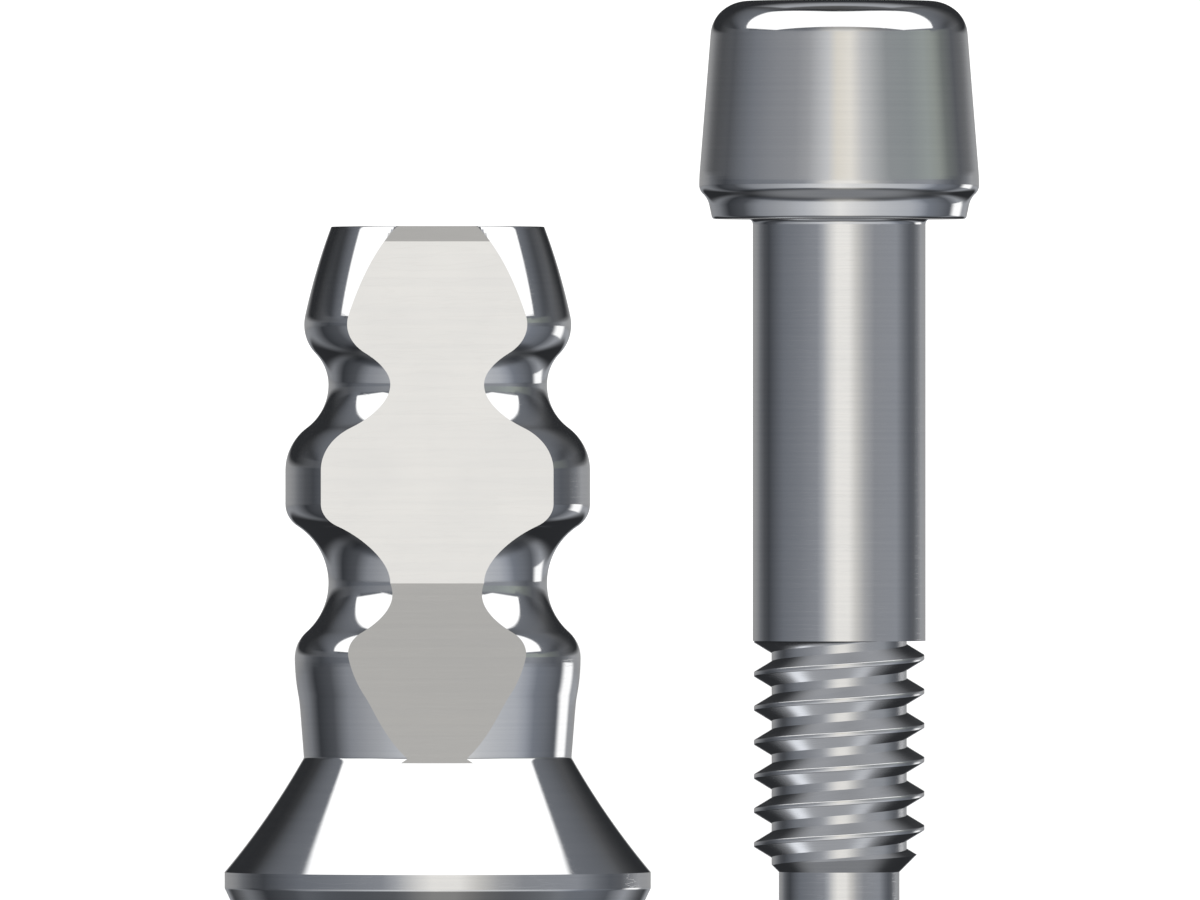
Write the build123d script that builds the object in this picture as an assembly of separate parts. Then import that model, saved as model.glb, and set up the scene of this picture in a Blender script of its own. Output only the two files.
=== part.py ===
from build123d import *
import math
import os

# Fit of the screw in the coping, radial sizes in millimetres
THREAD_DIAMETER = 2.0
SHANK_OVER_THREAD = 0.014
BORE_CLEARANCE = 0.036

# Thread of the guide screw
THREAD_PITCH = 0.4
THREAD_DEPTH = 0.207
CREST_WIDTH = 0.05
ROOT_WIDTH = 0.1
FIRST_ROOT_DROP = 0.39
LEAD_IN_ANGLE = 45.0

# Lengths of the guide screw, from its pilot end upwards
PILOT_LENGTH = 1.14
PILOT_STEP = 0.086
PILOT_EDGE = 0.05
THREAD_LENGTH = 2.71
SHANK_LENGTH = 4.95
HEAD_HEIGHT = 2.56

# Head of the guide screw, widths measured outwards from its shank
HEAD_FILLET = 0.06
COLLAR_WIDTH = 0.476
COLLAR_LIP = 0.05
COLLAR_HEIGHT = 0.24
SKIRT_WIDTH = 0.629
SKIRT_HEIGHT = 0.1
SKIRT_BEVEL = 0.14
CROWN_WIDTH = 0.488
CROWN_ROUND = 0.37
DRIVE_ACROSS_FLATS = 1.25
DRIVE_DEPTH = 1.2

# Distance between the axes of the two standing pieces
SCREW_SPACING = 4.71

# Walls of the coping, measured outwards from its bore
LIP_WALL = 0.2
NECK_WALL = 0.233
FLAT_WALL = 0.11

# Waves of the coping, measured outwards from its necks
UPPER_WAVE_RISE = 0.284
LOWER_WAVE_RISE = 0.505
SHOULDER_RISE = 0.394
BAND_FOOT_RISE = 0.386
WAIST_TOP_RISE = 0.34
WAIST_FOOT_RISE = 0.287

# Foot of the coping
RIM_DIAMETER = 5.0
RIM_EDGE = 0.03
PLATFORM_LAND = 0.491
HEX_ACROSS_FLATS = 2.7
HEX_DEPTH = 0.7

# Heights of the coping's stretches, from its seat upwards
BASE_HEIGHT = 0.951
RIM_HEIGHT = 0.187
FLARE_HEIGHT = 1.342
WAIST_HEIGHT = 0.675
BAND_STEP_HEIGHT = 0.215
BAND_HEIGHT = 0.28
SHOULDER_HEIGHT = 0.88
LOWER_WAVE_UNDERSIDE = 0.93
LOWER_WAVE_LAND = 0.39
LOWER_WAVE_TOPSIDE = 1.004
UPPER_WAVE_UNDERSIDE = 0.706
TOP_TAPER_HEIGHT = 1.15

# Share of each slope that belongs to its neck's hollow curve
SHOULDER_HOLLOW = 0.65
LOWER_UNDERSIDE_HOLLOW = 0.72
LOWER_TOPSIDE_HOLLOW = 0.5
UPPER_UNDERSIDE_HOLLOW = 0.52

# Curve of the flare at the waist, and roll of the upper wave into the taper
FLARE_START_ANGLE = 29.5
TAPER_ROLL_RADIUS = 0.5
TAPER_START_ANGLE = 12.0

# Milled facets on the front and the back of the coping
FACET_LEAN = 10.3
FACET_RUN_OUT = 0.05
TOP_BEVEL_HEIGHT = 0.18
TOP_BEVEL_LEAN = 10.0

# Radii that follow from the fit
thread_radius = THREAD_DIAMETER / 2
root_radius = thread_radius - THREAD_DEPTH
pilot_radius = root_radius - PILOT_STEP
shank_radius = thread_radius + SHANK_OVER_THREAD
bore_radius = shank_radius + BORE_CLEARANCE
neck_radius = bore_radius + NECK_WALL
flat_distance = bore_radius + FLAT_WALL
rim_radius = RIM_DIAMETER / 2
hex_corner_radius = HEX_ACROSS_FLATS / 2 / math.cos(math.pi / 6)
seat_radius = hex_corner_radius + PLATFORM_LAND

# Heights that follow from the stretches
rim_top = BASE_HEIGHT + RIM_HEIGHT
waist_foot = rim_top + FLARE_HEIGHT
waist_top = waist_foot + WAIST_HEIGHT
band_foot = waist_top + BAND_STEP_HEIGHT
band_top = band_foot + BAND_HEIGHT
lower_neck = band_top + SHOULDER_HEIGHT
lower_wave_foot = lower_neck + LOWER_WAVE_UNDERSIDE
lower_wave_top = lower_wave_foot + LOWER_WAVE_LAND
upper_neck = lower_wave_top + LOWER_WAVE_TOPSIDE
upper_wave = upper_neck + UPPER_WAVE_UNDERSIDE
coping_top = upper_wave + TOP_TAPER_HEIGHT
thread_foot = PILOT_LENGTH
shank_foot = thread_foot + THREAD_LENGTH
head_foot = shank_foot + SHANK_LENGTH
head_top = head_foot + HEAD_HEIGHT


def slope(hollow, crest, hollow_share):
    """Two arcs that run from a hollow to a crest, upright at both ends and tangent where they meet."""
    meeting = hollow + (crest - hollow) * hollow_share
    upward = (0, math.copysign(1, crest.Y - hollow.Y))
    hollow_arc = TangentArc(hollow, meeting, tangent=upward)
    crest_arc = TangentArc(meeting, crest, tangent=hollow_arc % 1)
    return [hollow_arc, crest_arc]


def straight_run(*points):
    """The straight edges that join the points in order."""
    return [Line(start, end) for start, end in zip(points, points[1:])]


def coping_foot():
    """Outline of the coping from its axis, along the seat, round the rim and up to the waist's foot."""
    waist = Vector(neck_radius + WAIST_FOOT_RISE, waist_foot)
    shelf = Vector(rim_radius, rim_top)
    flare_start = Vector(0, -1).rotate(Axis.Z, FLARE_START_ANGLE)
    base = straight_run(
        Vector(0, 0), Vector(seat_radius, 0), Vector(rim_radius, BASE_HEIGHT), shelf
    )
    flare = TangentArc(waist, shelf, tangent=flare_start)
    return base + [flare]


def coping_waist():
    """Outline of the waist and the band over it, from the flare to the shoulder's crest."""
    return straight_run(
        Vector(neck_radius + WAIST_FOOT_RISE, waist_foot),
        Vector(neck_radius + WAIST_TOP_RISE, waist_top),
        Vector(neck_radius + BAND_FOOT_RISE, band_foot),
        Vector(neck_radius + SHOULDER_RISE, band_top),
    )


def coping_waves():
    """Outline of the shoulder, the two necks and the two waves, up to the upper wave's crest."""
    shoulder = Vector(neck_radius + SHOULDER_RISE, band_top)
    lower_hollow = Vector(neck_radius, lower_neck)
    lower_crest = Vector(neck_radius + LOWER_WAVE_RISE, lower_wave_foot)
    lower_crest_top = Vector(neck_radius + LOWER_WAVE_RISE, lower_wave_top)
    upper_hollow = Vector(neck_radius, upper_neck)
    upper_crest = Vector(neck_radius + UPPER_WAVE_RISE, upper_wave)
    edges = slope(lower_hollow, shoulder, SHOULDER_HOLLOW)
    edges += slope(lower_hollow, lower_crest, LOWER_UNDERSIDE_HOLLOW)
    edges += straight_run(lower_crest, lower_crest_top)
    edges += slope(upper_hollow, lower_crest_top, LOWER_TOPSIDE_HOLLOW)
    edges += slope(upper_hollow, upper_crest, UPPER_UNDERSIDE_HOLLOW)
    return edges


def coping_taper():
    """Outline over the upper wave's crest, up the long taper and in along the top to the axis."""
    turn = math.radians(TAPER_START_ANGLE)
    crest = Vector(neck_radius + UPPER_WAVE_RISE, upper_wave)
    roll_end = crest + Vector(
        -TAPER_ROLL_RADIUS * (1 - math.cos(turn)), TAPER_ROLL_RADIUS * math.sin(turn)
    )
    roll = TangentArc(crest, roll_end, tangent=(0, 1))
    lip = Vector(bore_radius + LIP_WALL, coping_top)
    taper = TangentArc(roll_end, lip, tangent=roll % 1)
    return [roll, taper] + straight_run(lip, Vector(0, coping_top), Vector(0, 0))


def turned(edges):
    """The solid that a closed outline of radius and height sweeps round the upright axis."""
    outline = make_face(Plane.XZ * Curve(edges))
    return revolve(outline, Axis.Z, 360)


def upright_bar(radius, length):
    """A round bar that stands on the origin."""
    return Cylinder(radius, length, align=(Align.CENTER, Align.CENTER, Align.MIN))


def hexagonal_bar(across_flats, length):
    """A hexagonal bar that stands on the origin, two of its flats facing front and back."""
    return extrude(RegularPolygon(across_flats / 2, 6, major_radius=False), length)


def facet_cutter():
    """Everything in front of the leaning facet, the upright flat and the fine bevel at the flat's top."""
    facet_foot = waist_foot - FACET_RUN_OUT
    lean = math.tan(math.radians(FACET_LEAN)) * (lower_neck - facet_foot)
    bevel = math.tan(math.radians(TOP_BEVEL_LEAN)) * TOP_BEVEL_HEIGHT
    reach = 2 * rim_radius
    outline = Polyline(
        (-flat_distance - reach, coping_top + reach),
        (bevel - flat_distance, coping_top + reach),
        (bevel - flat_distance, coping_top),
        (-flat_distance, coping_top - TOP_BEVEL_HEIGHT),
        (-flat_distance, lower_neck),
        (-flat_distance - lean, facet_foot),
        (-flat_distance - reach, facet_foot),
        close=True,
    )
    return extrude(Plane.YZ * make_face(outline), reach, both=True)


def coping():
    """The coping: turned outline, bore, hexagonal recess in its seat, and facets on two sides."""
    body = turned(coping_foot() + coping_waist() + coping_waves() + coping_taper())
    rim_edges = [
        edge
        for edge in body.edges().filter_by(GeomType.CIRCLE)
        if math.isclose(edge.radius, rim_radius, abs_tol=RIM_EDGE / 10)
    ]
    body = fillet(rim_edges, RIM_EDGE)
    recess = hexagonal_bar(HEX_ACROSS_FLATS, HEX_DEPTH)
    front = facet_cutter()
    return body - upright_bar(bore_radius, coping_top) - recess - front - mirror(front, Plane.XZ)


def pilot_outline():
    """Outline of the pilot pin, from its end up to the foot of the thread."""
    return straight_run(
        Vector(0, 0),
        Vector(pilot_radius - PILOT_EDGE, 0),
        Vector(pilot_radius, PILOT_EDGE),
        Vector(pilot_radius, thread_foot),
        Vector(0, thread_foot),
        Vector(0, 0),
    )


def thread_outline():
    """Outline of the thread's blank: the lead-in cone and a cylinder of the crests' radius."""
    lead_in = (thread_radius - pilot_radius) / math.tan(math.radians(LEAD_IN_ANGLE))
    return straight_run(
        Vector(0, thread_foot),
        Vector(pilot_radius, thread_foot),
        Vector(thread_radius, thread_foot + lead_in),
        Vector(thread_radius, shank_foot),
        Vector(0, shank_foot),
        Vector(0, thread_foot),
    )


def head_outline():
    """Outline of the shank and the head, from the thread up over the skirt and the rounded crown."""
    collar_radius = shank_radius + COLLAR_WIDTH
    collar_top = head_foot + COLLAR_HEIGHT
    skirt_radius = shank_radius + SKIRT_WIDTH
    skirt_foot = collar_top + SKIRT_HEIGHT
    crown_radius = shank_radius + CROWN_WIDTH
    fillet_start = Vector(shank_radius, head_foot - HEAD_FILLET)
    fillet_end = Vector(shank_radius + HEAD_FILLET, head_foot)
    crown_start = Vector(crown_radius, head_top - CROWN_ROUND)
    crown_end = Vector(crown_radius - CROWN_ROUND, head_top)
    shank = straight_run(Vector(0, shank_foot), Vector(shank_radius, shank_foot), fillet_start)
    skirt = straight_run(
        fillet_end,
        Vector(collar_radius, head_foot),
        Vector(collar_radius + COLLAR_LIP, collar_top),
        Vector(skirt_radius, skirt_foot),
        Vector(skirt_radius, skirt_foot + SKIRT_BEVEL),
        crown_start,
    )
    root_fillet = TangentArc(fillet_start, fillet_end, tangent=(0, 1))
    crown = TangentArc(crown_start, crown_end, tangent=(0, 1))
    top = straight_run(crown_end, Vector(0, head_top), Vector(0, shank_foot))
    return shank + [root_fillet] + skirt + [crown] + top


def thread_groove(foot, turns):
    """The right-hand helical groove that leaves the thread standing, its mouth clear of the crests."""
    half_root = ROOT_WIDTH / 2
    half_gap = (THREAD_PITCH - CREST_WIDTH) / 2
    half_mouth = (THREAD_PITCH - CREST_WIDTH / 2) / 2
    reach = THREAD_DEPTH * (half_mouth - half_root) / (half_gap - half_root)
    path = Helix(THREAD_PITCH, turns * THREAD_PITCH, root_radius, center=(0, 0, foot))
    outline = Polyline(
        (0, -half_root), (reach, -half_mouth), (reach, half_mouth), (0, half_root), close=True
    )
    section = Plane(origin=path @ 0, x_dir=(1, 0, 0), z_dir=path % 0) * make_face(outline)
    return sweep(section, path, is_frenet=True)


def threaded_stretch():
    """The thread: a bar longer at both ends, grooved, then trimmed to the outline of the thread."""
    turns_below = math.ceil(THREAD_LENGTH / THREAD_PITCH) + 1
    turns_above = math.ceil(FIRST_ROOT_DROP / THREAD_PITCH) + 1
    groove_foot = shank_foot - FIRST_ROOT_DROP - turns_below * THREAD_PITCH
    turns = turns_below + turns_above
    bar = Pos(0, 0, groove_foot - THREAD_PITCH) * upright_bar(thread_radius, (turns + 2) * THREAD_PITCH)
    return (bar - thread_groove(groove_foot, turns)) & turned(thread_outline())


def guide_screw():
    """The guide screw: pilot, thread, shank and socketed head in one, standing beside the coping."""
    socket = Pos(0, 0, head_top - DRIVE_DEPTH) * hexagonal_bar(DRIVE_ACROSS_FLATS, DRIVE_DEPTH)
    head = turned(head_outline()) - socket
    screw = turned(pilot_outline()) + threaded_stretch() + head
    return Pos(SCREW_SPACING, 0, 0) * screw


os.makedirs("parts", exist_ok=True)
export_step(coping(), "parts/coping.step")
export_step(guide_screw(), "parts/guide_screw.step")
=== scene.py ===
"""Dresses the impression coping and its guide screw, and sets them in a soft studio.

The pieces are turned, milled and threaded metal. They are drawn in millimetres and brought to
metres when they are finished.
"""

import logging
import math
from dataclasses import dataclass
from enum import Enum
from typing import Iterable

import bmesh
import bpy
from bmesh.types import BMEdge, BMesh, BMFace, BMVert
from mathutils import Matrix, Vector


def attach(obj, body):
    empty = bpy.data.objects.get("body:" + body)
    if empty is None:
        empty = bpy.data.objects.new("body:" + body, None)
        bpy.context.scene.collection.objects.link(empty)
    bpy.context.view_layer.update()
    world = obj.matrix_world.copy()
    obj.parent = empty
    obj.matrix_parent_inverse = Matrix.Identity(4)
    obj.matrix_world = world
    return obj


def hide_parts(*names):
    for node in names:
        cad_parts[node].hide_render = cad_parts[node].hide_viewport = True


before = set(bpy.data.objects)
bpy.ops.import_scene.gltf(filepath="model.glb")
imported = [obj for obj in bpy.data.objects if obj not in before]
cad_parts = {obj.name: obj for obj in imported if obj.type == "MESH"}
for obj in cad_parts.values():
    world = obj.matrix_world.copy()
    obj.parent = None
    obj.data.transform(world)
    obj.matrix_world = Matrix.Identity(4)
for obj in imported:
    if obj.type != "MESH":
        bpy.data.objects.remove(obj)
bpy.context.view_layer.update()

LOG = logging.getLogger("coping_set")
MM = 0.001
HALF_CIRCLE = 180.0
RIGHT_ANGLE = 90.0
DEGREES = HALF_CIRCLE / math.pi

MERGE = 1e-5  # points nearer than this are one, in millimetres
NEAR = 1e-4  # heights nearer than this are the same
LOOSE = 1e-3  # radii and planes nearer than this are the same
CREASE = math.radians(35)  # from this angle on an edge is a sharp one

Span = tuple[float, float]
Band = tuple[Span, Span]
Point = tuple[float, float]
Triple = tuple[float, float, float]
Colour = tuple[float, float, float, float]
Rows = tuple[tuple[float, ...], ...]
Stops = list[tuple[float, Colour]]


class Slot(Enum):
    """The record's finishes."""

    COPING = "polished_coping"
    SCREW = "polished_screw"


class Skin(Enum):
    """Which of a piece's materials a face wears."""

    TURNED = 0
    CUT = 1


def grey(level: float, warmth: float = 0.0, greenness: float = 0.0) -> Colour:
    """A grey of this level, warm above zero and cool below it, with a touch of green."""
    return (level * (1 + warmth - greenness), level, level * (1 - 2 * warmth - greenness / 3), 1.0)


class Signal:
    """A value inside a node tree that takes part in ordinary arithmetic."""

    def __init__(self, graph: "Graph", socket: bpy.types.NodeSocket) -> None:
        """Wraps one output socket of the graph."""
        self.graph = graph
        self.socket = socket

    def __add__(self, other: "Signal | float") -> "Signal":
        """This value plus another."""
        return self.graph.maths("ADD", self, other)

    def __radd__(self, other: float) -> "Signal":
        """A number plus this value."""
        return self.graph.maths("ADD", other, self)

    def __sub__(self, other: "Signal | float") -> "Signal":
        """This value less another."""
        return self.graph.maths("SUBTRACT", self, other)

    def __rsub__(self, other: float) -> "Signal":
        """A number less this value."""
        return self.graph.maths("SUBTRACT", other, self)

    def __mul__(self, other: "Signal | float") -> "Signal":
        """This value times another."""
        return self.graph.maths("MULTIPLY", self, other)

    def __rmul__(self, other: float) -> "Signal":
        """A number times this value."""
        return self.graph.maths("MULTIPLY", other, self)

    def __neg__(self) -> "Signal":
        """This value with its sign turned."""
        return self.graph.maths("MULTIPLY", self, -1.0)

    def size(self) -> "Signal":
        """This value without its sign."""
        return self.graph.maths("ABSOLUTE", self)

    def rise(self, low: float, high: float) -> "Signal":
        """A smooth step from 0 where this value is low to 1 where it is high.

        Args:
            low: Where the step starts.
            high: Where it ends, which may lie under low.

        Returns:
            The step.
        """
        return self.graph.signal(
            "ShaderNodeMapRange",
            {"interpolation_type": "SMOOTHSTEP", "clamp": True},
            {"Value": self, "From Min": low, "From Max": high},
        )

    def band(self, opening: Span, closing: Span) -> "Signal":
        """A mask that opens over one span of this value and closes over the next."""
        return self.rise(*opening) * (1 - self.rise(*closing))


class Graph:
    """A node tree that is written as expressions."""

    def __init__(self, tree: bpy.types.NodeTree) -> None:
        """Takes the tree over and empties it."""
        self.tree = tree
        tree.nodes.clear()

    def add(
        self,
        kind: str,
        settings: dict[str, object] | None = None,
        values: dict[int | str, object] | None = None,
    ) -> bpy.types.Node:
        """Adds a node of any kind.

        Args:
            kind: The node's type.
            settings: Its own settings, set first; "stops" fills a ramp.
            values: What each socket holds, a plain value or a Signal.

        Returns:
            The node.
        """
        node = self.tree.nodes.new(kind)
        for name, setting in (settings or {}).items():
            if name == "stops":
                self.fill_ramp(node.color_ramp, setting)
            else:
                setattr(node, name, setting)
        for key, value in (values or {}).items():
            if isinstance(value, Signal):
                self.tree.links.new(value.socket, node.inputs[key])
            else:
                node.inputs[key].default_value = value
        return node

    @staticmethod
    def fill_ramp(ramp: bpy.types.ColorRamp, stops: Stops) -> None:
        """Sets a ramp's stops.

        Args:
            ramp: The ramp, with the two stops that it starts with.
            stops: Positions from 0 to 1 with their colours, in order.
        """
        ramp.elements[0].position, ramp.elements[0].color = stops[0]
        ramp.elements[1].position, ramp.elements[1].color = stops[-1]
        for position, colour in stops[1:-1]:
            ramp.elements.new(position).color = colour

    def signal(
        self,
        kind: str,
        settings: dict[str, object] | None = None,
        values: dict[int | str, object] | None = None,
        output: int | str = 0,
    ) -> Signal:
        """Adds a node and gives one of its outputs, the first unless named."""
        return Signal(self, self.add(kind, settings, values).outputs[output])

    def maths(self, operation: str, *values: Signal | float) -> Signal:
        """Runs values through a Math node."""
        return self.signal("ShaderNodeMath", {"operation": operation}, dict(enumerate(values)))

    def ramp(self, factor: Signal, stops: Stops) -> Signal:
        """The colour of a ramp at a factor from 0 to 1."""
        return self.signal("ShaderNodeValToRGB", {"stops": stops}, {"Fac": factor}, "Color")

    def axes(self, vector: Signal) -> tuple[Signal, Signal, Signal]:
        """A vector's x, y and z."""
        parts = self.add("ShaderNodeSeparateXYZ", None, {"Vector": vector})
        return tuple(Signal(self, socket) for socket in parts.outputs)

    def mix(
        self, factor: Signal | float, first: object, second: object, blend: str = "MIX"
    ) -> Signal:
        """Blends two colours.

        Args:
            factor: How much of the second colour there is.
            first: A colour or a Signal.
            second: The other one.
            blend: How they are blended.

        Returns:
            The blend.
        """
        return self.signal(
            "ShaderNodeMix",
            {"data_type": "RGBA", "blend_type": blend},
            {0: factor, 6: first, 7: second},
            2,
        )


@dataclass(frozen=True)
class PolishedMetal:
    """Fine-turned and polished metal; sizes are in millimetres and frequencies per millimetre."""

    name: str
    axis: Point
    colour: Colour = grey(0.765)
    cloud_colour: Colour = grey(0.69, -0.01)
    cloud_frequency: float = 0.9
    cloud_span: Span = (0.3, 0.75)
    cloud_share: float = 0.3
    streak_span: Span = (0.35, 0.65)
    streak_share: float = 0.3
    roughness: float = 0.055
    roughness_spread: float = 0.025
    roughness_cloud_share: float = 0.6
    scratch_roughness: float = 0.02
    ring_frequency: float = 22.0
    ring_depth: float = 0.00003
    ring_detail: float = 4.0
    ring_fineness: float = 0.6
    scratch_frequency: float = 1.6
    scratch_slant: Triple = (0.5, 0.3, 0.2)
    scratch_stretch: Triple = (0.8, 0.8, 7.0)
    scratch_width: float = 0.012
    scratch_depth: float = 0.00005
    across: bool = False

    def build(self) -> bpy.types.Material:
        """Makes the material: rings or milled lines, faint scratches and a patchy polish.

        Returns:
            The material.
        """
        material = bpy.data.materials.new(self.name)
        material.use_nodes = True
        graph = Graph(material.node_tree)
        place = graph.signal("ShaderNodeTexCoord", output="Object")
        centred = graph.signal(
            "ShaderNodeMapping",
            {"vector_type": "POINT"},
            {
                "Vector": place,
                "Location": (-self.axis[0], -self.axis[1], 0.0),
                "Scale": (1 / MM, 1 / MM, 1 / MM),
            },
        )
        rings = self.tool_marks(graph, centred)
        scratches = self.scratches(graph, centred)
        cloud = graph.signal(
            "ShaderNodeTexNoise",
            None,
            {"Vector": centred, "Scale": self.cloud_frequency, "Detail": 3.0},
        )
        patchy = cloud.rise(*self.cloud_span)
        streaks = rings.rise(*self.streak_span)
        dulled = patchy * self.cloud_share + streaks * self.streak_share
        colour = graph.mix(dulled, self.colour, self.cloud_colour)
        uneven = patchy * self.roughness_cloud_share + rings * (1 - self.roughness_cloud_share)
        rough = self.roughness + self.roughness_spread * uneven + scratches * self.scratch_roughness
        height = rings * self.ring_depth - scratches * self.scratch_depth
        bump = graph.signal(
            "ShaderNodeBump", None, {"Height": height * MM, "Strength": 1.0, "Distance": 1.0}
        )
        shader = graph.signal(
            "ShaderNodeBsdfPrincipled",
            None,
            {"Base Color": colour, "Metallic": 1.0, "Roughness": rough, "Normal": bump},
        )
        graph.add("ShaderNodeOutputMaterial", None, {"Surface": shader})
        return material

    def tool_marks(self, graph: Graph, centred: Signal) -> Signal:
        """Fine lines left by the tool: rings round the axis, or straight lines across a flat.

        Args:
            graph: The material's node tree.
            centred: The place on the piece, from its axis, in millimetres.

        Returns:
            The lines' height, from 0 to 1.
        """
        x, y, z = graph.axes(centred)
        along = z if self.across else z + graph.maths("SQRT", x * x + y * y)
        return graph.signal(
            "ShaderNodeTexNoise",
            {"noise_dimensions": "1D"},
            {
                "W": along,
                "Scale": self.ring_frequency,
                "Detail": self.ring_detail,
                "Roughness": self.ring_fineness,
            },
        )

    def scratches(self, graph: Graph, centred: Signal) -> Signal:
        """Hairline marks from handling, where a stretched noise passes close to its middle.

        Args:
            graph: The material's node tree.
            centred: The place on the piece, from its axis, in millimetres.

        Returns:
            The marks' depth, from 0 to 1.
        """
        slanted = graph.signal(
            "ShaderNodeMapping",
            {"vector_type": "POINT"},
            {"Vector": centred, "Rotation": self.scratch_slant, "Scale": self.scratch_stretch},
        )
        noise = graph.signal(
            "ShaderNodeTexNoise",
            None,
            {"Vector": slanted, "Scale": self.scratch_frequency, "Detail": 2.0},
        )
        return 1 - (noise - 0.5).size().rise(0.0, self.scratch_width)


@dataclass(frozen=True)
class PaleFloor:
    """The pale sheet that the pieces stand on."""

    name: str = "pale_sheet"
    colour: Colour = grey(0.9)
    mottle_colour: Colour = grey(0.87)
    mottle_frequency: float = 90.0
    mottle_share: float = 0.3
    roughness: float = 0.9

    def build(self) -> bpy.types.Material:
        """Makes the material: matt, with the faintest mottling.

        Returns:
            The material.
        """
        material = bpy.data.materials.new(self.name)
        material.use_nodes = True
        graph = Graph(material.node_tree)
        place = graph.signal("ShaderNodeTexCoord", output="Object")
        mottle = graph.signal(
            "ShaderNodeTexNoise",
            None,
            {"Vector": place, "Scale": self.mottle_frequency, "Detail": 2.0},
        )
        colour = graph.mix(mottle * self.mottle_share, self.colour, self.mottle_colour)
        shader = graph.signal(
            "ShaderNodeBsdfPrincipled", None, {"Base Color": colour, "Roughness": self.roughness}
        )
        graph.add("ShaderNodeOutputMaterial", None, {"Surface": shader})
        return material


class Outline:
    """A turned piece's half section, drawn as edges; x is the radius and z the height."""

    ARC_STEPS = 12
    SLOPE_STEPS = 18
    EASE_SEGMENTS = 3
    BRACE = 0.012
    BRACED_LENGTH = 4

    def __init__(self, radius: float, height: float) -> None:
        """Starts the chain at a point.

        Args:
            radius: The point's radius.
            height: The point's height.
        """
        self.mesh = bmesh.new()
        self.tip = self.mesh.verts.new((radius, 0.0, height))
        self.heading = Vector((0.0, 0.0, 1.0))
        self.corners: list[tuple[BMVert, float]] = []

    def eased(self, size: float) -> "Outline":
        """Marks the tip as a corner to be rounded over this size."""
        self.corners.append((self.tip, size))
        return self

    def line(self, radius: float, height: float) -> "Outline":
        """Draws a straight stretch to a point.

        Args:
            radius: The end's radius.
            height: The end's height.

        Returns:
            The outline, for the next stretch.
        """
        end = self.mesh.verts.new((radius, 0.0, height))
        self.mesh.edges.new((self.tip, end))
        self.heading = (end.co - self.tip.co).normalized()
        self.tip = end
        return self

    def aim(self, outwards: float, upwards: float) -> "Outline":
        """Turns the tip's heading without drawing."""
        self.heading = Vector((outwards, 0.0, upwards)).normalized()
        return self

    def arc(
        self, radius: float, height: float, arriving: Point | None = None, steps: int = ARC_STEPS
    ) -> "Outline":
        """Draws an arc to a point.

        Args:
            radius: The end's radius.
            height: The end's height.
            arriving: The heading at the end; without it the arc leaves along the tip's own heading.
            steps: How many edges the arc has.

        Returns:
            The outline, for the next stretch.
        """
        chord = Vector((radius, 0.0, height)) - self.tip.co
        if arriving is not None:
            last = Vector((arriving[0], 0.0, arriving[1])).normalized()
            self.heading = last.reflect(chord.normalized()) * -1
        side = Vector((-self.heading.z, 0.0, self.heading.x))
        reach = chord.length_squared / (2 * chord.dot(side))
        sweep = 2 * math.atan2(chord.dot(side), chord.dot(self.heading))
        axis = Vector((0.0, -1.0, 0.0))
        spun = bmesh.ops.spin(
            self.mesh,
            geom=[self.tip],
            cent=self.tip.co + side * reach,
            axis=axis,
            angle=sweep,
            steps=steps,
        )
        self.tip = next(part for part in spun["geom_last"] if isinstance(part, BMVert))
        self.heading = Matrix.Rotation(sweep, 3, axis) @ self.heading
        return self

    def slope(self, radius: float, height: float, share: float) -> "Outline":
        """Draws two arcs to a point, upright at both ends and tangent where they meet.

        Args:
            radius: The end's radius.
            height: The end's height.
            share: Where they meet, as a share of the straight way.

        Returns:
            The outline, for the next stretch.
        """
        meeting = self.tip.co.lerp(Vector((radius, 0.0, height)), share)
        self.aim(0.0, 1.0).arc(meeting.x, meeting.z, steps=self.SLOPE_STEPS)
        return self.arc(radius, height, steps=self.SLOPE_STEPS)

    def ease_corners(self) -> None:
        """Rounds every marked corner of the chain."""
        for corner, size in self.corners:
            bmesh.ops.bevel(
                self.mesh,
                geom=[corner],
                offset=size,
                segments=self.EASE_SEGMENTS,
                profile=0.5,
                affect="VERTICES",
                material=-1,
            )
        self.corners = []

    def brace(self, distance: float = BRACE) -> None:
        """Puts a point close beside both ends of every longer stretch, to keep its shading true.

        Args:
            distance: How far from an end the point lies.
        """
        for edge in self.mesh.edges[:]:
            if edge.calc_length() < self.BRACED_LENGTH * distance:
                continue
            first, last = edge.verts
            step = (last.co - first.co).normalized() * distance
            after_first = bmesh.utils.edge_split(edge, first, 0.5)[1]
            after_first.co = first.co + step
            rest = next(link for link in after_first.link_edges if last in link.verts)
            before_last = bmesh.utils.edge_split(rest, last, 0.5)[1]
            before_last.co = last.co - step

    def turn(self, steps: int) -> BMesh:
        """Sweeps the chain once round the upright axis.

        Args:
            steps: How many stretches the turn has.

        Returns:
            The swept surface.
        """
        self.ease_corners()
        self.brace()
        bmesh.ops.spin(
            self.mesh,
            geom=self.mesh.verts[:] + self.mesh.edges[:],
            axis=(0, 0, 1),
            angle=math.tau,
            steps=steps,
            use_merge=True,
        )
        bmesh.ops.remove_doubles(self.mesh, verts=self.mesh.verts[:], dist=MERGE)
        return self.mesh


def absorb(target: BMesh, source: BMesh) -> None:
    """Moves all of one mesh into another.

    Args:
        target: The mesh that grows.
        source: The mesh that goes into it, and is freed.
    """
    carrier = bpy.data.meshes.new("carrier")
    source.to_mesh(carrier)
    source.free()
    target.from_mesh(carrier)
    bpy.data.meshes.remove(carrier)


def cut_level(mesh: BMesh, height: float, upwards: int = 1, clear: bool = False) -> None:
    """Cuts a whole mesh along a level plane.

    Args:
        mesh: The mesh.
        height: The plane's height.
        upwards: 1 when the plane faces up and -1 when it faces down.
        clear: Whether what the plane faces is taken away.
    """
    bmesh.ops.bisect_plane(
        mesh,
        geom=mesh.verts[:] + mesh.edges[:] + mesh.faces[:],
        dist=MERGE,
        plane_co=(0, 0, height),
        plane_no=(0, 0, upwards),
        clear_outer=clear,
    )


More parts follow.
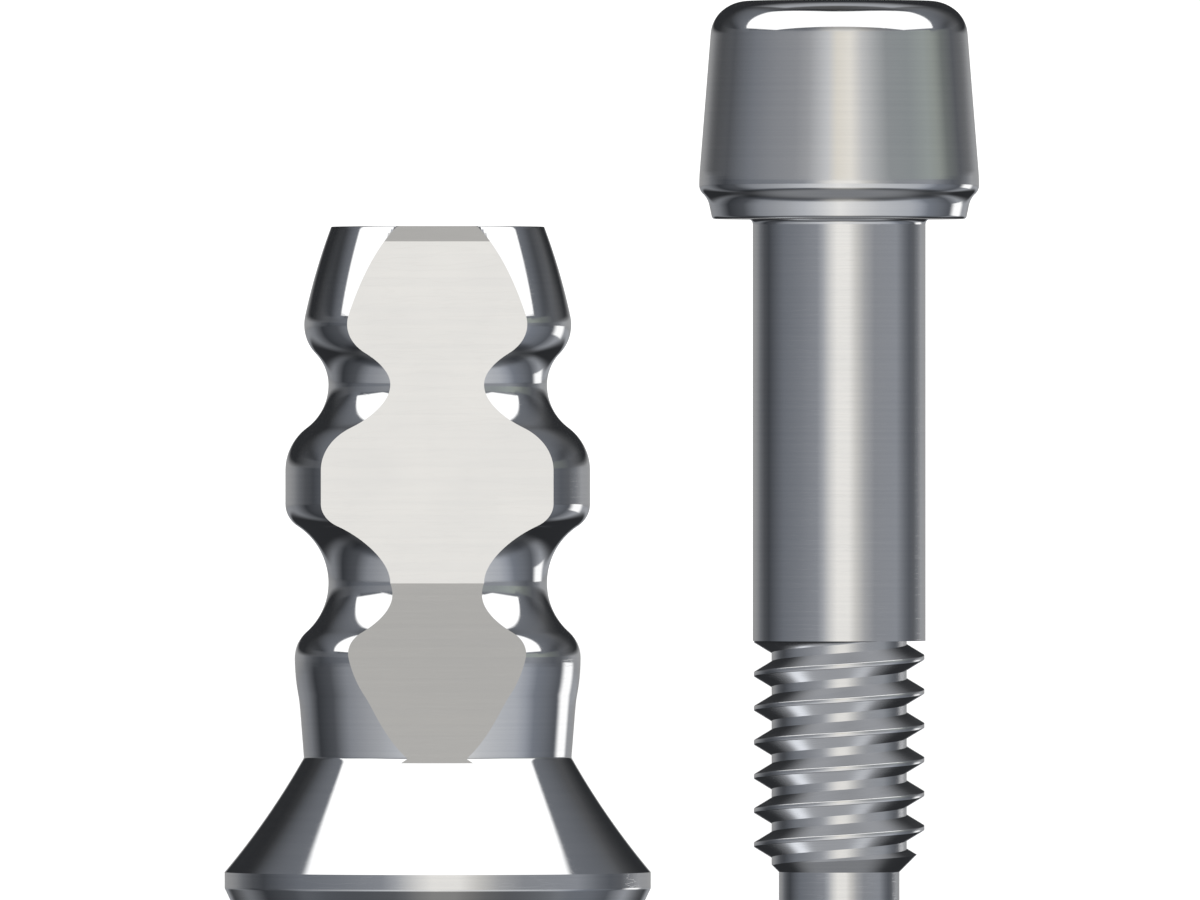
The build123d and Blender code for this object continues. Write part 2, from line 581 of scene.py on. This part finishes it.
def ring_edges(mesh: BMesh, height: float, radius: float | None = None) -> list[BMEdge]:
    """The open edges at a height.

    Args:
        mesh: The mesh to look through.
        height: The height that both ends of an edge have.
        radius: The distance from the axis that both ends have, or any when left out.

    Returns:
        The edges.
    """

    def fits(vert: BMVert) -> bool:
        """Whether a point lies at the height and radius."""
        at_height = abs(vert.co.z - height) < NEAR
        return at_height and (radius is None or abs(vert.co.xy.length - radius) < LOOSE)

    return [edge for edge in mesh.edges if len(edge.link_faces) < 2 and all(map(fits, edge.verts))]


def hexagonal_well(
    mesh: BMesh, mouth: list[BMEdge], across_flats: float, height: float, depth: float
) -> list[BMEdge]:
    """Sinks a hexagonal well into a round opening, with flats to the front and back.

    Args:
        mesh: The mesh that gets the well.
        mouth: The edges of the round opening.
        across_flats: The well's width.
        height: The height of its mouth.
        depth: How far it goes, upwards when negative.

    Returns:
        The edges round its bottom, still open.
    """
    corner = across_flats / 2 / math.cos(math.pi / 6)
    turned = Matrix.Rotation(math.pi / 2, 4, "Z")
    raised = Matrix.Translation((0, 0, height))
    made = bmesh.ops.create_circle(mesh, segments=6, radius=corner, matrix=raised @ turned)
    rim = list(dict.fromkeys(edge for vert in made["verts"] for edge in vert.link_edges))
    bmesh.ops.triangle_fill(mesh, edges=mouth + rim)
    wall = bmesh.ops.extrude_edge_only(mesh, edges=rim)["geom"]
    bottom = [part for part in wall if isinstance(part, BMVert)]
    bmesh.ops.translate(mesh, verts=bottom, vec=(0, 0, -depth))
    edges = [part for part in wall if isinstance(part, BMEdge)]
    return [edge for edge in edges if all(vert in bottom for vert in edge.verts)]


def finish_piece(
    mesh: BMesh,
    name: str,
    offset: float,
    materials: Iterable[bpy.types.Material],
) -> bpy.types.Object:
    """Turns a mesh drawn in millimetres into a piece that stands for its CAD node.

    Args:
        mesh: The mesh, which is freed.
        name: The CAD node's name.
        offset: How far the piece's axis stands from the origin, in millimetres.
        materials: The piece's materials in the order of Skin.

    Returns:
        The piece.
    """
    bmesh.ops.recalc_face_normals(mesh, faces=mesh.faces[:])
    for face in mesh.faces:
        face.smooth = True
    for edge in mesh.edges:
        if len(edge.link_faces) == 2 and edge.calc_face_angle() > CREASE:
            edge.smooth = False
    bmesh.ops.translate(mesh, verts=mesh.verts[:], vec=(offset, 0, 0))
    bmesh.ops.scale(mesh, verts=mesh.verts[:], vec=(MM, MM, MM))
    open_edges = sum(1 for edge in mesh.edges if len(edge.link_faces) != 2)
    data = bpy.data.meshes.new(name + "_dressed")
    mesh.to_mesh(data)
    mesh.free()
    piece = bpy.data.objects.new(name + "_dressed", data)
    bpy.context.scene.collection.objects.link(piece)
    for material in materials:
        data.materials.append(material)
    piece.visible_glossy = False
    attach(piece, "root")
    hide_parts(name)
    LOG.info("%s: %d faces, %d open edges", piece.name, len(data.polygons), open_edges)
    return piece


@dataclass
class Coping:
    """The coping: a flared foot, a waist, two waves and two necks, with facets front and back."""

    bore_radius: float = 1.05
    bore_ease: float = 0.02
    seat_radius: float = 2.05
    seat_ease: float = 0.02
    rim_radius: float = 2.5
    rim_foot: float = 0.951
    rim_top: float = 1.138
    rim_ease: float = 0.006
    flare_angle: float = 29.5
    flare_steps: int = 40
    edge_ease: float = 0.012
    waist_foot: Point = (1.57, 2.48)
    waist_top: Point = (1.623, 3.155)
    waist_ease: float = 0.12
    shoulder: Point = (1.677, 3.65)
    shoulder_steps: int = 10
    neck_radius: float = 1.283
    lower_neck: float = 4.53
    lower_neck_share: float = 0.35
    lower_wave_radius: float = 1.788
    lower_wave_foot: float = 5.46
    lower_wave_top: float = 5.85
    lower_wave_share: float = 0.72
    upper_neck: float = 6.854
    upper_neck_share: float = 0.5
    upper_wave: Point = (1.567, 7.56)
    upper_wave_share: float = 0.52
    roll_radius: float = 0.5
    roll_angle: float = 12.0
    roll_steps: int = 6
    lip_radius: float = 1.25
    top: float = 8.71
    taper_steps: int = 26
    flat_distance: float = 1.16
    facet_lean: float = 10.3
    facet_foot: float = 2.43
    bevel_foot: float = 8.53
    bevel_lean: float = 10.0
    ledge_reach: float = 1.0
    hex_width: float = 2.7
    hex_depth: float = 0.7
    hex_land_radius: float = 1.6
    turn_steps: int = 256

    def outline(self) -> Outline:
        """The half section from the recess, round the foot, up over the waves and down the bore.

        Returns:
            The outline, not yet turned.
        """
        turn = math.radians(self.roll_angle)
        flare = math.radians(self.flare_angle)
        roll_end = (
            self.upper_wave[0] - self.roll_radius * (1 - math.cos(turn)),
            self.upper_wave[1] + self.roll_radius * math.sin(turn),
        )
        up_the_flare = (-math.sin(flare), math.cos(flare))
        line = Outline(self.hex_land_radius, 0.0)
        line.line(self.seat_radius, 0.0).eased(self.seat_ease)
        line.line(self.rim_radius, self.rim_foot).eased(self.rim_ease)
        line.line(self.rim_radius, self.rim_top)
        line.arc(*self.waist_foot, arriving=up_the_flare, steps=self.flare_steps)
        line.eased(self.edge_ease)
        line.line(*self.waist_top).eased(self.waist_ease)
        line.arc(*self.shoulder, arriving=(0.0, 1.0), steps=self.shoulder_steps)
        line.slope(self.neck_radius, self.lower_neck, self.lower_neck_share)
        line.slope(self.lower_wave_radius, self.lower_wave_foot, self.lower_wave_share)
        line.line(self.lower_wave_radius, self.lower_wave_top)
        line.slope(self.neck_radius, self.upper_neck, self.upper_neck_share)
        line.slope(*self.upper_wave, self.upper_wave_share)
        line.aim(0.0, 1.0).arc(*roll_end, steps=self.roll_steps)
        line.arc(self.lip_radius, self.top, steps=self.taper_steps).eased(self.edge_ease)
        line.line(self.bore_radius, self.top).eased(self.bore_ease)
        return line.line(self.bore_radius, self.hex_depth)

    @staticmethod
    def split(
        mesh: BMesh, low: float, high: float, point: Vector, outwards: Vector
    ) -> list[BMFace]:
        """Splits the faces between two heights along a plane.

        Args:
            mesh: The coping.
            low: The lower height.
            high: The upper height.
            point: A point of the plane.
            outwards: The plane's normal, away from the metal that stays.

        Returns:
            The faces between the heights that stand outside the plane.
        """
        band = [face for face in mesh.faces if low < face.calc_center_median().z < high]
        parts = band + [edge for face in band for edge in face.edges]
        parts += [vert for face in band for vert in face.verts]
        geometry = list(dict.fromkeys(parts))
        bmesh.ops.bisect_plane(mesh, geom=geometry, dist=MERGE, plane_co=point, plane_no=outwards)
        outside = []
        for face in mesh.faces:
            centre = face.calc_center_median()
            if low < centre.z < high and (centre - point).dot(outwards) > 0:
                outside.append(face)
        return outside

    @staticmethod
    def fill(mesh: BMesh, edges: list[BMEdge]) -> None:
        """Closes a loop of edges with one milled face and keeps its border sharp.

        Args:
            mesh: The coping.
            edges: The loop.
        """
        made = bmesh.ops.edgeloop_fill(mesh, edges=edges, mat_nr=Skin.CUT.value, use_smooth=True)
        for face in made["faces"]:
            for edge in face.edges:
                edge.smooth = False

    def mill_side(self, mesh: BMesh, side: int) -> None:
        """Mills the upright flat and the leaning facet into one side.

        Args:
            mesh: The turned coping.
            side: -1 for the front and 1 for the back.
        """
        lean = math.radians(self.facet_lean)
        meeting = Vector((0.0, side * self.flat_distance, self.lower_neck))
        upright = Vector((0.0, side, 0.0))
        leaning = Vector((0.0, side * math.cos(lean), math.sin(lean)))
        waste = self.split(mesh, self.facet_foot, self.lower_neck, meeting, leaning)
        waste += self.split(mesh, self.lower_neck, 2 * self.top, meeting, upright)
        bmesh.ops.delete(mesh, geom=waste, context="FACES")

        def border(normal: Vector, low: float, high: float) -> list[BMEdge]:
            """The open edges of a facet between two heights.

            Args:
                normal: The facet's normal.
                low: The lower height.
                high: The upper height.

            Returns:
                The edges, which lie in the facet's plane.
            """
            found = []
            for edge in mesh.edges:
                middle = (edge.verts[0].co.z + edge.verts[1].co.z) / 2
                if len(edge.link_faces) < 2 and low < middle < high + NEAR:
                    if all(abs((vert.co - meeting).dot(normal)) < LOOSE for vert in edge.verts):
                        found.append(edge)
            return found

        bevel = border(upright, self.bevel_foot, self.top)
        upper = border(upright, self.lower_neck, self.bevel_foot)
        lower = border(leaning, self.facet_foot, self.lower_neck)
        bevel_line = self.close_gap(mesh, bevel, self.bevel_foot)
        middle_line = self.close_gap(mesh, upper, self.lower_neck)
        ledge_line = self.close_gap(mesh, lower, self.facet_foot)
        self.fill(mesh, bevel + [bevel_line])
        self.fill(mesh, upper + [bevel_line, middle_line])
        self.fill(mesh, lower + [middle_line, ledge_line])
        lean_back = math.tan(math.radians(self.bevel_lean))
        for vert in {vert for edge in bevel for vert in edge.verts}:
            vert.co.y -= side * lean_back * (vert.co.z - self.bevel_foot)
        ledge = [
            edge
            for edge in ring_edges(mesh, self.facet_foot)
            if all(side * vert.co.y > self.ledge_reach for vert in edge.verts)
        ]
        self.fill(mesh, ledge)

    @staticmethod
    def close_gap(mesh: BMesh, edges: list[BMEdge], height: float) -> BMEdge:
        """Joins the two loose ends of a chain that lie at a height.

        Args:
            mesh: The coping.
            edges: The chain.
            height: The ends' height.

        Returns:
            The new edge between them.
        """
        uses: dict[BMVert, int] = {}
        for edge in edges:
            for vert in edge.verts:
                uses[vert] = uses.get(vert, 0) + 1
        loose = [vert for vert, count in uses.items() if count == 1]
        return mesh.edges.new([vert for vert in loose if abs(vert.co.z - height) < NEAR])

    def build(self) -> bpy.types.Object:
        """Makes the coping.

        Returns:
            The finished piece.
        """
        mesh = self.outline().turn(self.turn_steps)
        for height in (self.facet_foot, self.lower_neck, self.bevel_foot):
            cut_level(mesh, height)
        self.mill_side(mesh, -1)
        self.mill_side(mesh, 1)
        mouth = ring_edges(mesh, 0.0, self.hex_land_radius)
        bottom = hexagonal_well(mesh, mouth, self.hex_width, 0.0, -self.hex_depth)
        bore = ring_edges(mesh, self.hex_depth, self.bore_radius)
        bmesh.ops.triangle_fill(mesh, edges=bottom + bore)
        turned = PolishedMetal("polished_coping_metal", (0.0, 0.0)).build()
        milled = PolishedMetal(
            "milled_coping_metal",
            (0.0, 0.0),
            roughness=0.07,
            ring_frequency=9.0,
            ring_depth=0.0001,
            streak_share=0.15,
            across=True,
        ).build()
        return finish_piece(mesh, "coping", 0.0, (turned, milled))


@dataclass
class GuideScrew:
    """The guide screw: pilot, fine thread, shank and a round head with a hexagonal socket."""

    spacing: float = 4.71
    pilot_radius: float = 0.707
    pilot_edge: float = 0.05
    pilot_ease: float = 0.01
    pilot_gap: float = 0.02
    thread_foot: float = 1.14
    root_radius: float = 0.793
    thread_radius: float = 1.0
    pitch: float = 0.4
    crest_width: float = 0.05
    crest_ease: float = 0.005
    root_width: float = 0.1
    thread_brace: float = 0.008
    first_crest: float = 3.66
    thread_steps: int = 120
    thread_turns: int = 10
    turns_below: int = 8
    shank_radius: float = 1.014
    shank_foot: float = 3.85
    head_foot: float = 8.8
    head_fillet: float = 0.06
    fillet_steps: int = 6
    collar_radius: float = 1.49
    collar_ease: float = 0.03
    collar_lip: Point = (1.54, 9.04)
    lip_ease: float = 0.065
    skirt_foot: Point = (1.643, 9.14)
    skirt_foot_ease: float = 0.05
    skirt_top: Point = (1.643, 9.28)
    skirt_top_ease: float = 0.07
    crown_foot: Point = (1.508, 10.979)
    crown_bend: Point = (1.392, 11.229)
    crown_flat: float = 1.065
    head_top: float = 11.36
    socket_width: float = 1.25
    socket_depth: float = 1.2
    socket_land_radius: float = 0.8
    turn_steps: int = 256

    def thread_section(self) -> Outline:
        """One pitch of the thread's section, from the middle of a crest to the next.

        Returns:
            The section, eased and braced.
        """
        start = self.first_crest - self.turns_below * self.pitch
        flank = (self.pitch - self.crest_width - self.root_width) / 2
        crest = self.crest_width / 2
        section = Outline(self.thread_radius, start)
        section.line(self.thread_radius, start + crest).eased(self.crest_ease)
        section.line(self.root_radius, start + crest + flank)
        section.line(self.root_radius, start + crest + flank + self.root_width)
        section.line(self.thread_radius, start + self.pitch - crest).eased(self.crest_ease)
        section.line(self.thread_radius, start + self.pitch)
        section.ease_corners()
        section.brace(self.thread_brace)
        return section

    def thread(self) -> BMesh:
        """The thread: one pitch of its section on a helical spin, repeated and trimmed.

        Returns:
            The thread's surface, open at both ends.
        """
        mesh = self.thread_section().mesh
        bmesh.ops.spin(
            mesh,
            geom=mesh.verts[:] + mesh.edges[:],
            axis=(0, 0, 1),
            dvec=(0, 0, self.pitch / self.thread_steps),
            angle=math.tau,
            steps=self.thread_steps,
        )
        one_turn = mesh.verts[:] + mesh.edges[:] + mesh.faces[:]
        for count in range(1, self.thread_turns):
            copied = bmesh.ops.duplicate(mesh, geom=one_turn)["geom"]
            raised = [part for part in copied if isinstance(part, BMVert)]
            bmesh.ops.translate(mesh, verts=raised, vec=(0, 0, count * self.pitch))
        bmesh.ops.remove_doubles(mesh, verts=mesh.verts[:], dist=NEAR)
        for face in mesh.faces:
            face.material_index = Skin.CUT.value
        self.turn_lead_in(mesh)
        cut_level(mesh, self.shank_foot, 1, clear=True)
        cut_level(mesh, self.thread_foot, -1, clear=True)
        return mesh

    def turn_lead_in(self, mesh: BMesh) -> None:
        """Brings every point of the thread inside the cone that leads it in.

        Args:
            mesh: The thread.
        """

        def excess(vert: BMVert) -> float:
            """How far a point stands outside the cone."""
            return vert.co.xy.length - self.pilot_radius - (vert.co.z - self.thread_foot)

        crossing = []
        for edge in mesh.edges:
            lower, upper = sorted(map(excess, edge.verts))
            if lower < -NEAR and upper > NEAR:
                crossing.append((edge, edge.verts[0], excess(edge.verts[0])))
        for edge, vert, outside in crossing:
            share = outside / (outside - excess(edge.other_vert(vert)))
            bmesh.utils.edge_split(edge, vert, share)
        bmesh.ops.triangulate(mesh, faces=[face for face in mesh.faces if len(face.verts) > 4])
        for vert in mesh.verts:
            outside = excess(vert)
            radius = vert.co.xy.length
            if outside > 0 and radius > outside:
                vert.co.xy *= 1 - outside / radius

    def pilot(self) -> BMesh:
        """The pilot pin under the thread.

        Returns:
            Its surface, open at the top.
        """
        line = Outline(0.0, 0.0)
        line.line(self.pilot_radius - self.pilot_edge, 0.0).eased(self.pilot_ease)
        line.line(self.pilot_radius, self.pilot_edge).eased(self.pilot_ease)
        line.line(self.pilot_radius, self.thread_foot - self.pilot_gap)
        return line.turn(self.turn_steps)

    def head(self) -> BMesh:
        """The shank and the head, up to the land round the socket.

        Returns:
            Their surface, open at the foot and at the land.
        """
        fillet_end = (self.shank_radius + self.head_fillet, self.head_foot)
        line = Outline(self.shank_radius, self.shank_foot)
        line.line(self.shank_radius, self.head_foot - self.head_fillet)
        line.arc(*fillet_end, arriving=(1.0, 0.0), steps=self.fillet_steps)
        line.line(self.collar_radius, self.head_foot).eased(self.collar_ease)
        line.line(*self.collar_lip).eased(self.lip_ease)
        line.line(*self.skirt_foot).eased(self.skirt_foot_ease)
        line.line(*self.skirt_top).eased(self.skirt_top_ease)
        line.line(*self.crown_foot).arc(*self.crown_bend)
        line.arc(self.crown_flat, self.head_top, arriving=(-1.0, 0.0))
        line.line(self.socket_land_radius, self.head_top)
        return line.turn(self.turn_steps)

    def build(self) -> bpy.types.Object:
        """Makes the guide screw.

        Returns:
            The finished piece.
        """
        mesh = self.thread()
        absorb(mesh, self.pilot())
        absorb(mesh, self.head())
        pilot_end = ring_edges(mesh, self.thread_foot - self.pilot_gap, self.pilot_radius)
        bmesh.ops.bridge_loops(mesh, edges=pilot_end + ring_edges(mesh, self.thread_foot))
        bmesh.ops.bridge_loops(mesh, edges=ring_edges(mesh, self.shank_foot))
        mouth = ring_edges(mesh, self.head_top, self.socket_land_radius)
        bottom = hexagonal_well(mesh, mouth, self.socket_width, self.head_top, self.socket_depth)
        bmesh.ops.edgeloop_fill(mesh, edges=bottom)
        axis = (self.spacing, 0.0)
        turned = PolishedMetal("polished_screw_metal", axis).build()
        rolled = PolishedMetal("rolled_thread_metal", axis, roughness=0.16).build()
        return finish_piece(mesh, "guide_screw", self.spacing, (turned, rolled))


class Direction:
    """Where a reflection looks, as the values that the studio's masks are drawn with.

    A bearing counts from straight behind the camera and an elevation from the horizon, both in
    degrees. Across and along are where the direction meets a ceiling one unit up.
    """

    LOWEST = 0.05

    def __init__(self, graph: Graph) -> None:
        """Works the values out.

        Args:
            graph: The world's node tree.
        """
        self.towards = graph.signal("ShaderNodeTexCoord", output="Generated")
        self.x, self.y, self.z = graph.axes(self.towards)
        self.bearing = graph.maths("ARCTAN2", self.x, -self.y) * DEGREES
        self.elevation = graph.maths("ARCSINE", self.z) * DEGREES
        height = graph.maths("MAXIMUM", self.z, self.LOWEST)
        self.across = graph.maths("DIVIDE", self.x, height).size()
        self.along = graph.maths("DIVIDE", self.y, height)


@dataclass
class Surround:
    """The light that the metal reflects: levels all round, with boxes and flags over them.

    A Span is where a mask runs from 0 to 1, and a Band is where it opens and where it closes. A
    ring's rows are bearing, level, warmth and greenness, and the tilt's are elevation and the
    share of the level at the horizon. The low ring and the high one lie by the horizon.
    """

    ring: Rows = (
        (-180, 0.36), (-150, 0.34, -0.01), (-141, 0.29, -0.02), (-131, 0.18, -0.04),
        (-120, 0.105, -0.05), (-109, 0.072, -0.07), (-94, 0.14, -0.07), (-80, 0.20, -0.07),
        (-54, 0.25, -0.06), (-30, 0.32, -0.05), (-22, 0.48, -0.03), (-11, 0.84, 0.01),
        (-3, 1.04, 0.02), (12, 1.04, 0.02), (22, 0.74, 0.02), (34, 0.47, -0.01),
        (48, 0.33, -0.04), (82, 0.34, -0.05), (98, 0.19, -0.06), (108, 0.13, -0.07),
        (118, 0.14, -0.05), (129, 0.23, -0.04), (141, 0.39, -0.02), (180, 0.36),
    )
    tilt: Rows = (
        (-90, 0.15), (-65, 0.18), (-50, 0.29), (-40, 0.60), (-30, 0.92), (-22, 0.85),
        (-13, 0.4), (-6, 0.62), (0, 1.0), (11, 0.88), (17, 0.62), (21, 0.49),
        (60, 0.45), (90, 0.12),
    )
    lower_ring: Rows = (
        (-180, 0.30, -0.03), (-151, 0.30, -0.03), (-138, 0.24, -0.04), (-120, 0.05, -0.07),
        (-98, 0.10, -0.06), (-80, 0.30, -0.05), (-52, 0.46, -0.03), (-33, 0.60, -0.03),
        (-16, 0.79, -0.01), (0, 1.0, 0.01), (16, 0.85, 0.0), (38, 0.66, -0.02),
        (70, 0.53, -0.04), (80, 0.41, -0.06), (90, 0.24, -0.08), (104, 0.19, -0.07),
        (118, 0.12, -0.07), (134, 0.38, -0.04), (160, 0.40, -0.03), (180, 0.30, -0.03),
    )
    lower_elevations: Band = ((-42.0, -32.0), (-4.5, -1.0))
    upper_ring: Rows = (
        (-180, 0.40), (-150, 0.28, -0.01), (-128, 0.15, -0.03), (-108, 0.11, -0.05),
        (-94, 0.17, -0.06), (-80, 0.23, -0.06), (-58, 0.30, -0.04), (-38, 0.34, -0.03),
        (-27, 0.42, -0.02), (-10, 0.70, -0.01), (-2, 0.86, 0.05), (9, 0.94, 0.04),
        (20, 0.66), (31, 0.49, -0.01, 0.02), (42, 0.35, -0.02, 0.04), (62, 0.34, -0.02, 0.06),
        (80, 0.40, 0.0, 0.09), (92, 0.37, 0.02, 0.10), (103, 0.21, 0.0, 0.08),
        (120, 0.13, -0.05), (140, 0.24, -0.02), (180, 0.36),
    )
    upper_elevations: Band = ((2.0, 4.0), (11.0, 14.0))
    flag_colour: Colour = grey(0.03, -0.05)
    back_flag_depth: Span = (0.3, 0.8)
    back_flag_shift: float = 0.12
    back_flag_shift_span: Span = (0.1, 0.4)
    back_flag_elevation: Span = (2.0, 7.0)
    low_flag_depth: Span = (0.92, 1.1)
    low_flag_slant: float = 0.8
    low_flag_drop: Span = (-0.10, -0.20)
    fringe_colour: Colour = grey(0.2, -0.06)
    fringe_across: Span = (0.4, 0.7)
    fringe_along: Band = ((0.0, 0.1), (0.3, 1.6))
    fringe_height: Span = (0.1, 0.25)
    table_colour: Colour = grey(0.26, -0.03)
    table_drop: Span = (-0.7, -0.95)
    card_colour: Colour = grey(0.44, -0.03)
    card_depth: Band = ((0.38, 0.44), (0.5, 0.8))
    card_side: Span = (0.28, 0.34)
    spots: tuple[tuple[Triple, float], ...] = (
        ((-0.194, 0.57, -0.798), 1.3),
        ((0.194, 0.57, -0.798), 0.75),
    )
    spot_warmth: float = -0.03
    spot_reach: Span = (0.02, 0.11)
    panel_colour: Colour = grey(1.5)
    panel_front: Span = (-2.06, -1.86)
    panel_back: Span = (-0.12, -0.03)
    panel_side: Span = (3.2, 3.7)
    panel_height: Span = (0.12, 0.16)
    panel_bow: float = 0.42
    panel_bow_span: Span = (0.0, 0.7)
    edge_lamp_colour: Colour = grey(1.3)
    edge_lamp_bearing: Band = ((119.0, 129.0), (138.0, 147.0))
    edge_lamp_elevation: Band = ((-14.5, -12.0), (-1.7, -1.0))

    def build(self, graph: Graph) -> Signal:
        """Draws the light.

        Args:
            graph: The world's node tree.

        Returns:
            The light's colour by direction.
        """
        way = Direction(graph)
        lit = self.levels(graph, way)
        lit = graph.mix(self.back_flag(way), lit, self.flag_colour)
        lit = graph.mix(self.low_flag(way), lit, self.flag_colour)
        lit = graph.mix(self.fringe(way), lit, self.fringe_colour)
        lit = graph.mix(way.z.rise(*self.table_drop), lit, self.table_colour)
        lit = graph.mix(self.card(way), lit, self.card_colour)
        for place, level in self.spots:
            ends = {0: way.towards, 1: place}
            apart = graph.signal("ShaderNodeVectorMath", {"operation": "DISTANCE"}, ends, "Value")
            spot = 1 - apart.rise(*self.spot_reach)
            lit = graph.mix(spot, lit, grey(level, self.spot_warmth))
        lit = graph.mix(self.panel(way), lit, self.panel_colour)
        return graph.mix(self.edge_lamp(way), lit, self.edge_lamp_colour)

    def levels(self, graph: Graph, way: Direction) -> Signal:
        """The levels all round, with rings of their own a little under and over the horizon.

        Args:
            graph: The world's node tree.
            way: The direction.

        Returns:
            The level's colour.
        """
        around = way.bearing * (0.5 / HALF_CIRCLE) + 0.5
        upwards = way.elevation * (0.5 / RIGHT_ANGLE) + 0.5
        ring = graph.ramp(around, self.stops(self.ring, HALF_CIRCLE))
        tilt = graph.ramp(upwards, self.stops(self.tilt, RIGHT_ANGLE))
        level = graph.mix(1.0, ring, tilt, "MULTIPLY")
        lower = graph.ramp(around, self.stops(self.lower_ring, HALF_CIRCLE))
        level = graph.mix(way.elevation.band(*self.lower_elevations), level, lower)
        upper = graph.ramp(around, self.stops(self.upper_ring, HALF_CIRCLE))
        return graph.mix(way.elevation.band(*self.upper_elevations), level, upper)

    @staticmethod
    def stops(rows: Rows, reach: float) -> Stops:
        """A ramp's stops, from rows of an angle between -reach and reach and a grey's values."""
        return [((angle + reach) / (2 * reach), grey(*values)) for angle, *values in rows]

    def back_flag(self, way: Direction) -> Signal:
        """The dark flag behind the pieces, cut back on the right."""
        depth = way.y - self.back_flag_shift * way.x.rise(*self.back_flag_shift_span)
        return depth.rise(*self.back_flag_depth) * way.elevation.rise(*self.back_flag_elevation)

    def low_flag(self, way: Direction) -> Signal:
        """The dark flag low behind the pieces, which comes nearer the lower it hangs."""
        depth = way.y - way.z * self.low_flag_slant
        return depth.rise(*self.low_flag_depth) * way.z.rise(*self.low_flag_drop)

    def fringe(self, way: Direction) -> Signal:
        """The dim ceiling at both sides, beyond the light panel."""
        beside = way.across.rise(*self.fringe_across) * way.along.band(*self.fringe_along)
        return beside * way.z.rise(*self.fringe_height)

    def card(self, way: Direction) -> Signal:
        """The grey card that the undersides of the thread show."""
        return way.y.band(*self.card_depth) * (1 - way.x.size().rise(*self.card_side))

    def panel(self, way: Direction) -> Signal:
        """The light panel overhead, with a bowed back edge.

        Args:
            way: The direction.

        Returns:
            Its mask.
        """
        bowed = way.along - self.panel_bow * way.across.rise(*self.panel_bow_span)
        return (
            way.along.rise(*self.panel_front)
            * (1 - bowed.rise(*self.panel_back))
            * (1 - way.across.rise(*self.panel_side))
            * way.z.rise(*self.panel_height)
        )

    def edge_lamp(self, way: Direction) -> Signal:
        """The narrow lamp at the right, low behind the pieces."""
        sideways = way.bearing.band(*self.edge_lamp_bearing)
        return sideways * way.elevation.band(*self.edge_lamp_elevation)


@dataclass
class Studio:
    """The pale floor, the world round the pieces and the camera; the clip is in metres."""

    floor_reach: float = 0.6
    floor_divisions: int = 8
    white_strength: float = 1.25
    look_at: Point = (1.904, 6.09)
    picture_width: float = 14.08
    lens: float = 900.0
    sensor: float = 36.0
    clip: Span = (0.01, 5.0)

    def build(self) -> None:
        """Sets up the floor, the light and the camera."""
        self.lay_floor()
        self.light()
        self.place_camera()

    def lay_floor(self) -> None:
        """Lays a wide pale sheet under the pieces, kept out of their reflections."""
        mesh = bmesh.new()
        bmesh.ops.create_grid(
            mesh,
            x_segments=self.floor_divisions,
            y_segments=self.floor_divisions,
            size=self.floor_reach,
        )
        data = bpy.data.meshes.new("floor_sheet")
        mesh.to_mesh(data)
        mesh.free()
        floor = bpy.data.objects.new("floor_sheet", data)
        bpy.context.scene.collection.objects.link(floor)
        data.materials.append(PaleFloor().build())
        floor.visible_glossy = False

    def light(self) -> None:
        """Lights the set: white all round, and for reflections the studio's boxes and flags."""
        world = bpy.data.worlds.new("studio")
        bpy.context.scene.world = world
        world.use_nodes = True
        graph = Graph(world.node_tree)
        lit = Surround().build(graph)
        reflected = graph.signal("ShaderNodeLightPath", output="Is Glossy Ray")
        white = graph.signal(
            "ShaderNodeBackground", None, {"Color": grey(1.0), "Strength": self.white_strength}
        )
        studio = graph.signal("ShaderNodeBackground", None, {"Color": lit, "Strength": 1.0})
        both = graph.signal("ShaderNodeMixShader", None, {0: reflected, 1: white, 2: studio})
        graph.add("ShaderNodeOutputWorld", None, {"Surface": both})
        bpy.context.scene.view_settings.view_transform = "Standard"

    def place_camera(self) -> None:
        """Stands a level camera far in front, with a lens that keeps the lines straight."""
        distance = self.picture_width * self.lens / self.sensor
        data = bpy.data.cameras.new("camera")
        data.lens = self.lens
        data.sensor_width = self.sensor
        data.clip_start, data.clip_end = self.clip
        camera = bpy.data.objects.new("camera", data)
        camera.location = Vector((self.look_at[0], -distance, self.look_at[1])) * MM
        camera.rotation_euler = (math.pi / 2, 0.0, 0.0)
        bpy.context.scene.collection.objects.link(camera)
        bpy.context.scene.camera = camera
        LOG.info("camera at %.3f m", distance * MM)


def main() -> None:
    """Builds the pieces and the studio in order."""
    logging.basicConfig(level=logging.INFO, format="%(name)s: %(message)s")
    for part in (Coping(), GuideScrew()):
        piece = part.build()
        LOG.info("built %s", piece.name)
    Studio().build()


if __name__ == "__main__":
    main()
